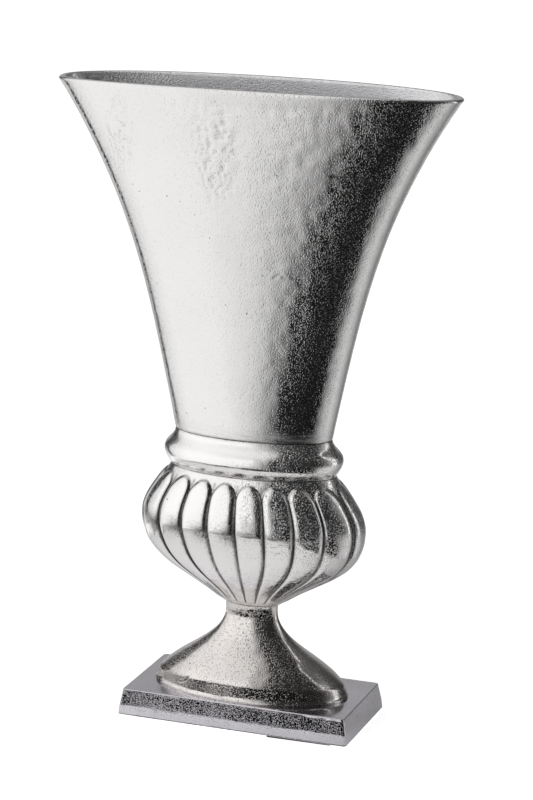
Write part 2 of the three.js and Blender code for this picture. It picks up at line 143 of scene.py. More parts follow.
def share_at(points, height, steps=2000):
    """How far along a rising curve it reaches a height"""
    t = np.linspace(0, 1, steps + 1)
    return float(np.interp(height, side(points, steps)[:, 2], t))


print("levels of the joints, mm:", plinth_top, foot_top, bowl_top, collar_top, rim_top)

# %% Skin
def piece_of(name, points, faces):
    mesh = bpy.data.meshes.new(name)
    mesh.from_pydata(points, [], faces)
    return in_scene(name, mesh)


def skin(name, rings, sharp_deg=32, hollow=True):
    """A wall over rings of points: one closed loop, or a solid with two flat ends"""
    rings = np.asarray(rings, float)
    levels, around, _ = rings.shape
    here = np.arange(levels * around).reshape(levels, around)
    above = np.roll(here, -1, 0)
    quads = np.stack([here, np.roll(here, -1, 1), np.roll(above, -1, 1), above], -1)
    faces = quads.reshape(-1, 4).tolist()
    if not hollow:
        faces = quads[:-1].reshape(-1, 4).tolist() + [here[0][::-1].tolist(), here[-1].tolist()]
    piece = piece_of(name, (rings.reshape(-1, 3) * MM).tolist(), faces)
    piece.data.shade_smooth()
    piece.data.set_sharp_from_angle(angle=radians(sharp_deg))
    print(f"{name}: {levels} rings of {around}")
    return piece


def paint(piece, name, values):
    """Keeps a number for each point of a piece, which its material can read"""
    layer = piece.data.attributes.new(name, "FLOAT", "POINT")
    layer.data.foreach_set("value", np.asarray(values, np.float32).ravel())


def outward(rings):
    """Direction square to the skin at each point"""
    round_it = np.roll(rings, -1, 1) - np.roll(rings, 1, 1)
    up_it = np.roll(rings, -1, 0) - np.roll(rings, 1, 0)
    square = np.cross(round_it, up_it)
    return square / np.maximum(np.linalg.norm(square, axis=2, keepdims=True), 1e-9)


def unevenness(points, size, seed, stretch=(1, 1, 1)):
    """Smooth noise from -1 to 1, with bumps about as wide as the size in mm"""
    apart = 17.3
    scaled = points.reshape(-1, 3) / (size * np.array(stretch)) + seed * apart
    values = [noise.noise(Vector(p)) for p in scaled]
    return np.array(values).reshape(points.shape[:-1])


def fade(values, start, end):
    """0 at the start, 1 at the end and smooth between them"""
    t = np.clip((values - start) / (end - start), 0, 1)
    return t * t * (3 - 2 * t)


def bell(values, width):
    """1 where the value is 0, falling off on both sides over the width"""
    return np.exp(-((values / width) ** 2))

# %% [markdown]
# ## The trumpet
# The trumpet flares from the collar to a mouth two and a half times as long. The
# mouth is a little squarer than a true oval and its rim sags 2 mm at the two ends.
# The caster ground the skin by hand, so the wall waves by a tenth of a millimetre,
# two patches keep the marks where the metal ran down the mould, and a few short
# scars show where the sand cracked. All are drawn into the mesh, because they
# bend the reflections.

# %% Trumpet: the wall
TRUMPET_AROUND = 560
LIP = 2.3
TRUMPET_WALL = 4.6
TRUMPET_BASE = np.array([64, 28.8])
MOUTH = np.array([160, 42])
TRUMPET_PLUG = np.array([60.7, 25.5])
PLUG_WALL, PLUG_DEEP = 3, 8
SAG, SAG_REACH = 2, 50
SQUARER_BY = 0.3
throat_base = collar_top + 4
throat_top = collar_top + 7
trumpet_side = [
    (*TRUMPET_BASE, collar_top),
    (*(TRUMPET_BASE + (25.5, 3)), collar_top + 124),
    (*(MOUTH - (59.5, 6)), rim_top - LIP - 96),
    (*MOUTH, rim_top - LIP),
]


def eased(levels, bottom=True, top=True, by=0.4):
    """Breaks the sharp edge where a casting meets its neighbour"""
    levels = levels.copy()
    if bottom:
        levels[0, :2] -= by
    if top:
        levels[-1, :2] -= by
    return levels


def mouth_squareness(height):
    return 2 + SQUARER_BY * np.clip((height - collar_top) / TRUMPET, 0, 1)


def sag_at_ends(rings):
    reach = np.clip((rings[..., 2] - (rim_top - SAG_REACH)) / SAG_REACH, 0, None)
    rings[..., 2] -= SAG * (rings[..., 0] / MOUTH[0]) ** 2 * reach**2
    return rings


outer = eased(side(trumpet_side, 330), top=False)
inner = side(trumpet_side, 90, TRUMPET_WALL, 1, share_at(trumpet_side, throat_top))
over = np.linspace(0, np.pi, 18)[1:-1, None]
inwards = (1 - np.cos(over)) / 2
lip = (1 - inwards) * outer[-1] + inwards * inner[0]
lip[:, 2:] = rim_top - LIP + LIP * np.sin(over)
plug_bore = TRUMPET_PLUG - PLUG_WALL
levels = np.concatenate([
    [[*TRUMPET_PLUG, collar_top - PLUG_DEEP], [*TRUMPET_PLUG, collar_top]],
    outer, lip, inner,
    [[*plug_bore, throat_base], [*plug_bore, collar_top - PLUG_DEEP]],
])
trumpet_rings = sag_at_ends(np.stack([
    oval_ring(length, depth, height, mouth_squareness(height), TRUMPET_AROUND)
    for length, depth, height in levels
]))
trumpet_outside = slice(2, 2 + len(outer))
print("trumpet mouth, mm:", np.ptp(trumpet_rings[..., 0]), np.ptp(trumpet_rings[..., 1]))

# %% [markdown]
# ## Hand finishing
# Each of these adds a low relief to the outside: grinding waves, runs down the
# mould, scars and tool marks. A relief is a height in mm at each point, and
# the last step moves the points square to the wall. Grinding only takes metal
# away, so the waves never go outside the drawn size.

# %% Reliefs of a casting
def grinding_waves(points, depth, size, seed, ripple=0.03):
    """Broad waves where the wheel bit deeper, with fine ripples on them"""
    wave = unevenness(points, size, seed) + 0.5 * unevenness(points, size * 0.42, seed + 1)
    fine = unevenness(points, 4.5, seed + 2)
    return -depth * (0.6 - 0.4 * np.clip(wave, -1.4, 1.4)) - ripple * (1 - fine)


def near_line(points, path, width):
    """1 on a path drawn over the front in (x, z), falling off over the width"""
    at = points[..., [0, 2]]
    nearest = np.full(at.shape[:-1], np.inf)
    for a, b in zip(np.array(path[:-1], float), np.array(path[1:], float)):
        along = np.clip(((at - a) @ (b - a)) / ((b - a) @ (b - a)), 0, 1)
        gap = np.linalg.norm(at - a - along[..., None] * (b - a), axis=-1)
        nearest = np.minimum(nearest, gap)
    return bell(nearest, width) * (points[..., 1] < 0)


def patch(points, centre, reach):
    """1 in the middle of an oval patch on the front, 0 outside it"""
    away = ((points[..., [0, 2]] - centre) / reach) ** 2
    return fade(-away.sum(-1), -1, -0.1) * (points[..., 1] < 0)


def seam(points, height, width=0.9):
    """Up to 1 at a joint, where polishing paste stays in the groove"""
    return bell(points[..., 2] - height, width) * (0.7 + 0.3 * unevenness(points, size=5, seed=40))


def carve(rings, levels, depth):
    rings[levels] += outward(rings)[levels] * depth[..., None]


def paint_outside(piece, rings, levels, coarse_elsewhere, **numbers):
    """Paints numbers on a casting's outside; all but "coarse" are 0 elsewhere"""
    for name, values in numbers.items():
        everywhere = np.full(rings.shape[:2], coarse_elsewhere if name == "coarse" else 0.0)
        everywhere[levels] = values
        paint(piece, name, everywhere)

# %% Trumpet: its relief
RUNS = [((-18, 455), (24, 48)), ((-98, 462), (18, 40))]
ROUGH_PATCH = ((15, 435), (14, 40))
SCARS = [
    ([(72, 440), (88, 439), (107, 434.5)], 0.7, 0.4),
    ([(26, 359.5), (31, 362.5), (36, 359.5)], 0.8, 0.16),
    ([(74, 373), (82, 368)], 0.8, 0.32),
]
face = trumpet_rings[trumpet_outside]
x, z = face[..., 0], face[..., 2]
front = fade(-face[..., 1], -8, 8)
lower_rim = 1 - fade(z, rim_top - 14, rim_top - 3)
relief = grinding_waves(face, depth=0.26, size=34, seed=1) * lower_rim
ragged = fade(x, 5, 45) * front * lower_rim
relief -= 0.2 * (1 - unevenness(face, size=9, seed=31)) * ragged
run_patches = sum(patch(face, centre, reach) for centre, reach in RUNS)
crumple = unevenness(face, size=5, seed=5, stretch=(1, 1, 4))
crumple += 0.6 * unevenness(face, size=2.6, seed=6, stretch=(1, 1, 2.2))
creases = np.clip(1 - np.abs(crumple), 0, 1) ** 9 * run_patches * lower_rim
relief -= 0.5 * creases
scars = sum(near_line(face, path, width) * depth for path, width, depth in SCARS)
relief -= scars * (1 + 0.7 * unevenness(face, size=3, seed=8))
rim_marks = unevenness(face, size=2.2, seed=50, stretch=(1, 1, 7))
rim_marks *= fade(z, rim_top - 30, rim_top - 12) * lower_rim
relief += 0.12 * rim_marks
tooling = unevenness(face, size=2.0, seed=9, stretch=(9, 9, 0.45))
tooling *= 1 - fade(z, collar_top + 4.5, collar_top + 15.5)
relief += 0.22 * tooling * fade(x, 0, 22) * (face[..., 1] < 0)
carve(trumpet_rings, trumpet_outside, relief)
trumpet = skin("trumpet_casting", trumpet_rings)
# Painted shade: the creases of the runs and the scars are darkened, as shade lying in the grooves. The seam
# at the collar is darker with polishing paste.
darkened = 0.2 * creases + 2.0 * scars + 0.6 * seam(face, collar_top)
half_length = np.abs(x).max(axis=1, keepdims=True)
coarse = 0.9 * fade(x, -10, 50) + 0.6 * patch(face, *ROUGH_PATCH) + 0.5 * run_patches
coarse += 0.8 * fade(-x / half_length, 0.86, 0.95)
coarse = front * np.clip(coarse, 0, 1) + 0.4 * (1 - front)
brushed = (1 - fade(z, collar_top + 4, collar_top + 16)) * (0.6 + 0.4 * tooling)
paint_outside(trumpet, trumpet_rings, trumpet_outside, 1.0, tarnish=darkened, coarse=coarse, brushed=brushed)
print("trumpet relief, mm:", relief.min().round(2), relief.max().round(2))

# %% [markdown]
# ## The collar ring
# The ring covers the joint between bowl and trumpet. It swells to a ridge two
# fifths of the way up and slopes back to a fine groove under the trumpet.

# %% Collar ring
COLLAR_AROUND = 400
COLLAR_BASE = np.array([67.7, 32.5])
COLLAR_RIDGE = np.array([72.9, 37.7])
COLLAR_WALL, COLLAR_PLUG_DEEP = 3.2, 6
BELLY = np.array([88.5, 39.5])
BOWL_NECK = np.array([23.3, 11.6])
BOWL_WALL = 5
ridge = bowl_top + 12
belly = foot_top + 66
collar_lower = [
    (*COLLAR_BASE, bowl_top),
    (*(COLLAR_BASE + 1.4), bowl_top + 3),
    (*COLLAR_RIDGE, ridge - 4.7),
    (*COLLAR_RIDGE, ridge),
]
collar_upper = [
    (*COLLAR_RIDGE, ridge),
    (*COLLAR_RIDGE, ridge + 8),
    (*(TRUMPET_BASE + 0.2), collar_top - 7.2),
    (*TRUMPET_BASE, collar_top),
]
bowl_upper = [
    (*BELLY, belly),
    (*(BELLY + (0, 1.8)), belly + 17),
    (*(COLLAR_BASE + (5.7, 6)), bowl_top - 13),
    (*COLLAR_BASE, bowl_top),
]
bowl_lower = [
    (*BOWL_NECK, foot_top),
    (*(BOWL_NECK + (33, 12.3)), foot_top + 25.8),
    (*(BELLY - (0, 11)), belly - 38),
    (*BELLY, belly),
]
bowl_mouth = side(bowl_upper, 1, BOWL_WALL, 1, 0)[0, :2]
collar_plug = bowl_mouth - FIT
collar_bore = collar_plug - COLLAR_WALL
collar_base = bowl_top - COLLAR_PLUG_DEEP
seat = collar_top - PLUG_DEEP - FIT
socket = TRUMPET_PLUG + FIT
collar_outer = eased(np.concatenate([side(collar_lower, 16), side(collar_upper, 22)[1:]]))
collar_levels = np.concatenate([
    [[*collar_plug, collar_base], [*collar_plug, bowl_top]],
    collar_outer,
    [[*socket, collar_top], [*socket, seat], [*collar_bore, seat], [*collar_bore, collar_base]],
])
collar_rings = np.stack([oval_ring(*level, count=COLLAR_AROUND) for level in collar_levels])
collar_outside = slice(2, 2 + len(collar_outer))
face = collar_rings[collar_outside]
carve(collar_rings, collar_outside, grinding_waves(face, depth=0.3, size=18, seed=3))
collar = skin("collar_casting", collar_rings)
darkened = 0.2 * seam(face, bowl_top) + 0.6 * seam(face, collar_top)
coarse = fade(face[..., 0], -10, 40)
brushed = 0.5 * fade(face[..., 2], collar_top - 9, collar_top - 3) * fade(face[..., 0], -20, 20)
paint_outside(collar, collar_rings, collar_outside, 0.0, tarnish=darkened, coarse=coarse, brushed=brushed)

# %% [markdown]
# ## The gadrooned bowl
# Gadroons are the convex lobes that run up the bowl. Each is an arch in plan,
# rounds over at its top and fades out just above the neck. All eighteen have one
# width, so the rings are laid with even steps along the oval, not even angles.
# Between two lobes the metal meets in a sharp valley, which the polishing wheel
# never reached. That valley is kept as a number for the material to darken: for the tarnish left there, and
# as painted shade in the crease.

# %% Bowl: even steps round an oval
LOBES = 18
BOWL_AROUND = LOBES * 34
LOBE_SWELL = 3.5
ARCH_BASE, ARCH_HIGH = bowl_top - 16.5, 12


def even_steps(path, count):
    """Points at even distances along a closed path, and the path's length"""
    gone = np.concatenate([[0], np.cumsum(np.linalg.norm(np.diff(path, axis=0), axis=1))])
    wanted = np.arange(count) * gone[-1] / count
    return np.stack([np.interp(wanted, gone, values) for values in path.T], 1), gone[-1]


def even_ring(length, depth, height):
    fine = oval_ring(length, depth, height, count=2880)
    return even_steps(np.vstack([fine, fine[:1]]), BOWL_AROUND)


widest_round = even_ring(*BELLY, 0)[1]
lobe_across = 2 * ((np.arange(BOWL_AROUND) * LOBES / BOWL_AROUND) % 1) - 1


def lobed_ring(length, depth, height):
    """A ring with its lobes, and how deep in a valley each point lies"""
    ring, distance = even_ring(length, depth, height)
    over_top = max(0, height - ARCH_BASE) / ARCH_HIGH
    from_middle = np.hypot(lobe_across, over_top)
    swell = np.sqrt(np.clip(1 - from_middle**4, 0, None))
    foot_fade = np.clip((height - foot_top - 1.5) / 3, 0, 1)
    square = ring[:, :2] / np.array([length, depth]) ** 2
    square /= np.linalg.norm(square, axis=1, keepdims=True)
    ring[:, :2] += square * (LOBE_SWELL * swell * distance / widest_round * foot_fade)[:, None]
    in_arch = np.clip(1 - over_top**2, 0, 1) ** 0.5 * foot_fade
    # The valley and the arch's top edge are darkened as tarnish and as painted shade in the crease.
    valley = 0.6 * in_arch * bell(1 - np.abs(lobe_across), 0.15)
    top_edge = 0.5 * bell(from_middle - 1, 0.08) * (over_top > 0)
    between = 0.05 * np.clip((from_middle - 1) / 0.15, 0, 1) * (over_top > 0)
    return ring, np.maximum(valley, top_edge) + between

# %% Bowl
TENON = np.array([15, 7])
TENON_HIGH = 4
bowl_outer = eased(np.concatenate([side(bowl_lower, 100), side(bowl_upper, 100)[1:]]))
bowl_floor = foot_top + 14
bowl_inner = np.concatenate([
    side(bowl_upper, 24, BOWL_WALL, 1, 0),
    side(bowl_lower, 30, BOWL_WALL, 1, share_at(bowl_lower, bowl_floor))[1:],
])
socket = TENON + FIT
socket_roof = foot_top + TENON_HIGH + FIT
drawn = [lobed_ring(*level) for level in bowl_outer]
bowl_hidden = [
    *bowl_inner,
    (*HOLE, bowl_floor),
    (*HOLE, socket_roof),
    (*socket, socket_roof),
    (*socket, foot_top),
]
bowl_rings = np.stack([ring for ring, _ in drawn] + [even_ring(*level)[0] for level in bowl_hidden])
bowl_outside = slice(len(bowl_outer))
face = bowl_rings[bowl_outside]
x, z = face[..., 0], face[..., 2]
carve(bowl_rings, bowl_outside, grinding_waves(face, depth=0.3, size=13, seed=7, ripple=0.045))
bowl = skin("bowl_casting", bowl_rings, 50)
# Painted shade: a band round the belly of the left lobes, on each lobe's right half, is darkened to stand
# in for a darker reflection there. The grain is also coarser and rougher in it.
painted_dark_band = bell(z - (belly - 1) - 3 * unevenness(face, size=9, seed=17), 7) * fade(-x, -15, 10)
painted_dark_band *= fade(lobe_across, -0.5, 0.6) * (1 - fade(lobe_across, 0.8, 1))
valleys = np.array([valley for _, valley in drawn])
darkened = valleys + 0.6 * seam(face, foot_top) + 0.2 * seam(face, bowl_top) + 0.6 * painted_dark_band
coarse = fade(x, -20, 30) * (0.3 + 0.7 * fade(z, belly - 20, belly - 6))
soft_band = bell(z - belly - 2 * unevenness(face, size=7, seed=19), 6)
paint_outside(
    bowl, bowl_rings, bowl_outside, 1.0,
    tarnish=np.clip(darkened, 0, 1),
    coarse=np.maximum(coarse, painted_dark_band),
    brushed=np.clip(0.45 * soft_band + 0.2 * painted_dark_band, 0, 1),
)
print("lobes:", LOBES, "each", round(widest_round / LOBES, 1), "mm wide")

# %% [markdown]
# ## The foot
# A hollow bell with a solid neck. Its shoulder drops at the two ends, below it
# runs a narrow skirt, and a low ledge meets the plinth. On the real one a short
# casting flaw crosses the skirt at the front left: a tear in the sand.

# %% Foot
FOOT_AROUND = 480
FOOT_WALL = 6
LEDGE = np.array([79.8, 41.6])
LEDGE_HIGH = 2.2
SHOULDER = np.array([74.7, 37.6])
SHOULDER_RISE = 16.5
FOOT_NECK = np.array([21.5, 10.7])
DIP, DIP_REACH = 6, 25
REGISTER = np.array([73.5, 35.3])
REGISTER_HIGH = 2
TEAR = [(-41, 34.8), (-44, 31.4), (-48.5, 29.6)]
neck_base = foot_top - 6
shoulder = plinth_top + SHOULDER_RISE
foot_flare = [
    (*SHOULDER, shoulder),
    (*(SHOULDER - (16.6, 7.3)), shoulder + 11.4),
    (*FOOT_NECK, neck_base - 22),
    (*FOOT_NECK, neck_base),
]
foot_roof = plinth_top + 36
hollow = side(foot_flare, 30, FOOT_WALL, share_at(foot_flare, foot_roof), 0)
ledge_and_skirt = np.array([
    (*LEDGE, 0), (*LEDGE, 1.7), (79.4, 41.2, 2.3), (78.9, 40.9, 2.9),
    *np.linspace((78.7, 40.7, 3.8), (76.6, 39.0, 13.2), 14),
    (76.2, 38.7, 14.4), (75.6, 38.2, 15.5),
]) + (0, 0, plinth_top)
widening = [(0, neck_base + 2), (0.1, neck_base + 4), (0.4, foot_top)]
neck = [(*(FOOT_NECK + wider), height) for wider, height in widening]
foot_outer = eased(np.concatenate([ledge_and_skirt, side(foot_flare, 110), neck]), bottom=False, by=0.3)
recess = REGISTER + FIT
tenon_top = foot_top + TENON_HIGH
foot_levels = np.concatenate([
    [[*HOLE, foot_roof]], hollow,
    [[*recess, plinth_top + 4], [*recess, plinth_top]],
    foot_outer,
    [[*TENON, foot_top], [*TENON, tenon_top], [*HOLE, tenon_top]],
])


def dip_at_ends(rings):
    rise = rings[..., 2] - plinth_top
    below = np.clip((rise - LEDGE_HIGH) / (SHOULDER_RISE - LEDGE_HIGH), 0, 1)
    above = np.clip(1 - (rise - SHOULDER_RISE) / DIP_REACH, 0, 1)
    rings[..., 2] -= DIP * (rings[..., 0] / LEDGE[0]) ** 2 * below * above**2
    return rings


foot_rings = dip_at_ends(np.stack([oval_ring(*level, count=FOOT_AROUND) for level in foot_levels]))
start = 1 + len(hollow) + 2
foot_outside = slice(start, start + len(foot_outer))
face = foot_rings[foot_outside]
relief = grinding_waves(face, depth=0.35, size=16, seed=11)
relief *= fade(face[..., 2], plinth_top + 1, plinth_top + 5)
tear = near_line(face, TEAR, 0.7)
carve(foot_rings, foot_outside, relief - 0.9 * tear)
foot = skin("foot_casting", foot_rings)
x, rise = face[..., 0], face[..., 2] - plinth_top
on_skirt = fade(rise, 3.5, 5) * (1 - fade(rise, 11, 14)) * (0.6 + 0.4 * unevenness(face, size=8, seed=41))
darkened = 0.5 * tear + 0.6 * seam(face, plinth_top) + 0.25 * seam(face, foot_top)
# Painted shade: the skirt under the shoulder is darkened, more towards the left end, and so is the groove
# of the tear. The seams are darker with polishing paste.
paint_outside(
    foot, foot_rings, foot_outside, 1.0,
    tarnish=darkened + 0.3 * on_skirt * (1 + fade(-x, 0, 40)),
    coarse=1 - 0.8 * fade(x, 2, 24),
    brushed=0.6 * on_skirt * (1 - fade(abs(x + 10), 10, 35)),
)

# %% [markdown]
# ## The plinth
# A flat block with drafted sides, so that it leaves the sand. The lower third of
# each side was run over the belt sander, which rounded it and made it brighter,
# and the line where the belt left off wavers. The pocket underneath holds the
# washer and the lock nut.

# %% Plinth
PLINTH_LONG, PLINTH_WIDE, PLINTH_CORNER = 190.0, 94.0, 2.5
PLINTH_AROUND = 960
TOP_IN = 3
EDGE_BELOW, EDGE_ABOVE = 0.5, 0.8
POCKET, POCKET_CORNER = (130, 50), 8
BELT_HEIGHT, BELT_WAVER, BELT_ROUND = 7, 1.4, 0.7
BELT_SLOPE, CAST_SLOPE = tan(radians(3)), 0.142
WITHIN = 0.001


def block_ring(
    inset, height, length=PLINTH_LONG, depth=PLINTH_WIDE, radius=PLINTH_CORNER, count=PLINTH_AROUND
):
    """Rounded rectangle with even steps, from the front centre towards the right"""
    half_x, half_y = length / 2 - inset, depth / 2 - inset
    path = [(0, -half_y)]
    for x, y, begin in ((1, -1, -90), (1, 1, 0), (-1, 1, 90), (-1, -1, 180)):
        for angle in np.radians(begin + np.linspace(0, 90, 13)):
            path.append((
                x * (half_x - radius) + radius * cos(angle),
                y * (half_y - radius) + radius * sin(angle),
            ))
    ring, _ = even_steps(np.array(path + path[:1]), count)
    return np.column_stack([ring, np.full(count, float(height))])


def plinth_inset(rise):
    return TOP_IN * rise / PLINTH


quarter = np.radians(np.linspace(0, 90, 9))
plinth_outer = [
    block_ring(EDGE_BELOW * (1 - sin(t)), plinth_base + EDGE_BELOW * (1 - cos(t)))
    for t in quarter
]
plinth_outer += [block_ring(plinth_inset(z), plinth_base + z) for z in np.linspace(0.8, PLINTH - 0.9, 40)]
plinth_outer += [
    block_ring(TOP_IN + EDGE_ABOVE * (1 - cos(t)), plinth_top - EDGE_ABOVE * (1 - sin(t)))
    for t in quarter
]
plinth_face = [
    block_ring(TOP_IN + inset, plinth_top, radius=max(PLINTH_CORNER - inset / 4, 1)) for inset in (1.6, 2.6)
]
pocket_roof = plinth_base + 12
register_top = plinth_top + REGISTER_HIGH
register_and_bore = [
    (*REGISTER, plinth_top), (*REGISTER, register_top),
    (*HOLE, register_top), (*HOLE, pocket_roof),
]
plinth_rings = np.stack(
    plinth_outer + plinth_face
    + [oval_ring(*level, count=PLINTH_AROUND) for level in register_and_bore]
    + [block_ring(0, z, *POCKET, POCKET_CORNER) for z in (pocket_roof, plinth_base)]
)
plinth_outside = slice(len(plinth_outer))
face = plinth_rings[plinth_outside]
relief = grinding_waves(face, depth=0.22, size=22, seed=13)
relief *= fade(face[..., 2], plinth_base + 0.2, plinth_base + 1.5)
rise = face[..., 2] - plinth_base
belt_line = BELT_HEIGHT + BELT_WAVER * unevenness(face * np.array([1, 1, 0]), size=26, seed=21)
turn_in = BELT_ROUND * np.log1p(np.exp((rise - belt_line) / BELT_ROUND))
leftover = BELT_SLOPE * rise + CAST_SLOPE * turn_in
on_side = fade(rise, 0, 1.5) * (1 - fade(rise, PLINTH - 2, PLINTH - 0.5))
relief += np.clip(plinth_inset(rise) - leftover, 0, None) * on_side
carve(plinth_rings, plinth_outside, relief)
limit = np.array([PLINTH_LONG / 2, PLINTH_WIDE / 2 - WITHIN])
np.clip(plinth_rings, (*-limit, plinth_base), (*limit, register_top), out=plinth_rings)
plinth = skin("plinth_casting", plinth_rings)
rough_cast = fade(rise, belt_line - 0.6, belt_line + 0.6)
paint_outside(plinth, plinth_rings, plinth_outside, 0.3, coarse=rough_cast)

# %% [markdown]
# ## The fastenings
# A threaded M8 rod draws the plinth, the foot and the bowl together. A nut turns
# up under the plinth on a wide washer. In the bowl a rubber ring keeps the water
# out of the bore, and a closed nut covers the thread. A nut could be an extruded
# hexagon, but a real one has its corners turned off at 30 degrees, so here each
# ring is the smaller of a hexagon and a cone. The thread is one ridge that winds
# up the rod, drawn as a radius that depends on angle and height.

# %% Turned pieces
ROD = 8.0
PITCH = 1.25
CLEAR = 0.3
ACROSS_FLATS = 13.0
NUT = 6.5
NUT_AROUND = 180
CORNERS_OFF = 0.2
PUNCHED, BROKEN = 0.25, 0.12
bore = ROD / 2 + CLEAR


def turned(name, outline, sharp_deg=32):
    return skin(name, [oval_ring(r, r, z, count=72) for r, z in outline], sharp_deg)


def washer(name, across, base, top):
    """A punched disc: rounded below, with narrow broken edges above"""
    r = across / 2
    outline = [
        (r - PUNCHED * (1 - sin(t)), base + PUNCHED * (1 - cos(t)))
        for t in (0, 0.4, 0.8, 1.2, pi / 2)
    ]
    outline += [(r, top - BROKEN), (r - BROKEN, top), (bore + BROKEN, top), (bore, top - BROKEN)]
    return turned(name, outline + [(bore, base + 0.2), (bore + 0.2, base)])


def nut_ring(height, from_face):
    """A hexagon with two corners along X, its corners turned off near a face"""
    turn = np.arange(NUT_AROUND) * (2 * np.pi / NUT_AROUND)
    hexagon = ACROSS_FLATS / 2 / np.cos(np.radians(np.degrees(turn) % 60 - 30))
    cone = ACROSS_FLATS / 2 - CORNERS_OFF + from_face / tan(radians(30))
    radius = np.minimum(hexagon, cone)
    return np.stack([radius * np.cos(turn), radius * np.sin(turn), np.full(NUT_AROUND, float(height))], 1)


def nut_body(base):
    up_face = [0, 0.1, 0.25, 0.4, 0.6, 0.8]
    body = [nut_ring(base + rise, rise) for rise in up_face]
    return body + [nut_ring(base + NUT - rise, rise) for rise in up_face[::-1]]


def round_rings(levels):
    return [oval_ring(r, r, z, count=NUT_AROUND) for r, z in levels]

# %% Washers, nuts and the rubber ring
seal_top = bowl_floor + 2
bowl_washer_top = seal_top + 1.6
plinth_washer_base = pocket_roof - 2
lock_nut_base = plinth_washer_base - NUT
bulge = [(9.7, bowl_floor), (9.92, bowl_floor + 0.3), (10, bowl_floor + 0.7), (10, bowl_floor + 1.3)]
bulge += [(9.92, seal_top - 0.3), (9.7, seal_top), (bore, seal_top), (bore, bowl_floor)]
rubber_ring = turned("rubber_ring", bulge, sharp_deg=60)
bowl_disc = washer("bowl_disc", 18, seal_top, bowl_washer_top)
plinth_disc = washer("plinth_disc", 24, plinth_washer_base, pocket_roof)
countersink = 0.6
lower_nut = skin("lower_nut", nut_body(lock_nut_base) + round_rings([
    (bore + countersink, lock_nut_base + NUT), (bore, lock_nut_base + NUT - countersink),
    (bore, lock_nut_base + countersink), (bore + countersink, lock_nut_base),
]))
dome_round = ACROSS_FLATS / 2 - 0.3
dome_high = 8.5
dome_base = bowl_washer_top + NUT
dome = [(dome_round * cos(t), dome_base + dome_high * sin(t)) for t in np.linspace(0, 1.555, 16)]
bore_end = bowl_washer_top + 10.5
closed_nut = skin("closed_nut", round_rings([
    (0.05, bore_end), (bore, bore_end - 0.05), (bore, bowl_washer_top + countersink),
    (bore + countersink, bowl_washer_top),
]) + nut_body(bowl_washer_top) + round_rings(dome), hollow=False)

# %% Threaded rod
ROD_AROUND = 32
THREAD_DEEP = 0.6
ROD_CHAMFER = 0.8
rod_base = lock_nut_base - 1.5
rod_top = bowl_washer_top + 9.5
rod_rings = []
thread_valleys = []
for height in np.append(np.arange(rod_base, rod_top, PITCH / 8), rod_top):
    turn = np.arange(ROD_AROUND) * (2 * np.pi / ROD_AROUND) - np.pi / 2
    wound = np.abs(((height / PITCH - turn / (2 * np.pi)) % 1) * 2 - 1)
    chamfer = ROD / 2 - ROD_CHAMFER + min(height - rod_base, rod_top - height, ROD_CHAMFER)
    ring = oval_ring(1, 1, height, count=ROD_AROUND)
    ring[:, :2] *= np.minimum(ROD / 2 - THREAD_DEEP * wound, chamfer)[:, None]
    rod_rings.append(ring)
    thread_valleys.append(wound)
threaded_rod = skin("threaded_rod", rod_rings, 80, hollow=False)
# Painted shade: the thread's valleys are darkened.
paint(threaded_rod, "tarnish", 0.6 * np.array(thread_valleys) ** 3)
print("rod, mm:", round(rod_top - rod_base, 1), "turns of thread:", round((rod_top - rod_base) / PITCH))

# %% [markdown]
# ## The felt pads
# Four strips of black felt keep the plinth off the table. In the photograph one
# end shows under the front edge, because that strip was stuck on a little askew.
# Felt is cut with a knife, so its edges are square but hairy: the outline wavers
# by a tenth of a millimetre and the corners are soft.

# %% Felt pads
PAD_SIZE = np.array([52.0, 8.0])
PAD_CORNER = 0.7
ASKEW = radians(1.4)


def felt_pad(name, node, seed, turn):
    low, high = (np.array(corner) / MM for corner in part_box(node))
    middle = (low + high) / 2
    outline = [(2.5, 0), (0.5, 0), (0.12, 0.06), (0, 0.3), (0, 0.9), (0.12, 1.14), (0.5, PAD), (2.5, PAD)]
    rings = np.stack([block_ring(inset, z, *PAD_SIZE, PAD_CORNER, 480) for inset, z in outline])
    hairy = 0.07 * (1 + unevenness(rings, 0.7, seed)) + 0.06 * (1 + unevenness(rings, 6, seed + 1))
    rings[..., :2] *= 1 - hairy[..., None] / PAD_SIZE * 2
    x, y = rings[..., 0].copy(), rings[..., 1].copy()
    rings[..., 0] = middle[0] + x * cos(turn) - y * sin(turn)
    rings[..., 1] = middle[1] + x * sin(turn) + y * cos(turn)
    return skin(name, rings, 60, hollow=False)


pads = {}
for seed, place in zip((60, 62, 64, 66), ("front_right", "front_left", "back_right", "back_left")):
    node = "felt_pad_" + place
    pads[node] = felt_pad("felt_" + place, node, seed, ASKEW if place == "front_right" else 0.0)

# %% [markdown]
# ## Material building blocks
# The metal pieces share a few effects, each piece in its own amount: the pebbled
# grain of moulding sand, small casting pits, a cloudy warm tint where the polish
# thinned, and the fine lines of the brush. Each one is a node group with named
# sockets, built once. A group gives only masks and heights. The shader that uses
# them stays in the material.

# %% Node helpers
def feed(tree, node, inputs):
    """Wires each input to another node's output, or sets it to a value"""
    for key, value in inputs.items():
        if isinstance(value, bpy.types.NodeSocket):
            tree.links.new(value, node.inputs[key])
        else:
            node.inputs[key].default_value = value


def put(tree, kind, inputs=None, **settings):
    """Adds a shader node, sets it and feeds its inputs"""
    made = tree.nodes.new("ShaderNode" + kind)
    for key, value in settings.items():
        setattr(made, key, value)
    feed(tree, made, inputs or {})
    return made


def maths(tree, operation, a, b=0.0, c=0.5, **settings):
    return put(tree, "Math", {0: a, 1: b, 2: c}, operation=operation, **settings).outputs[0]


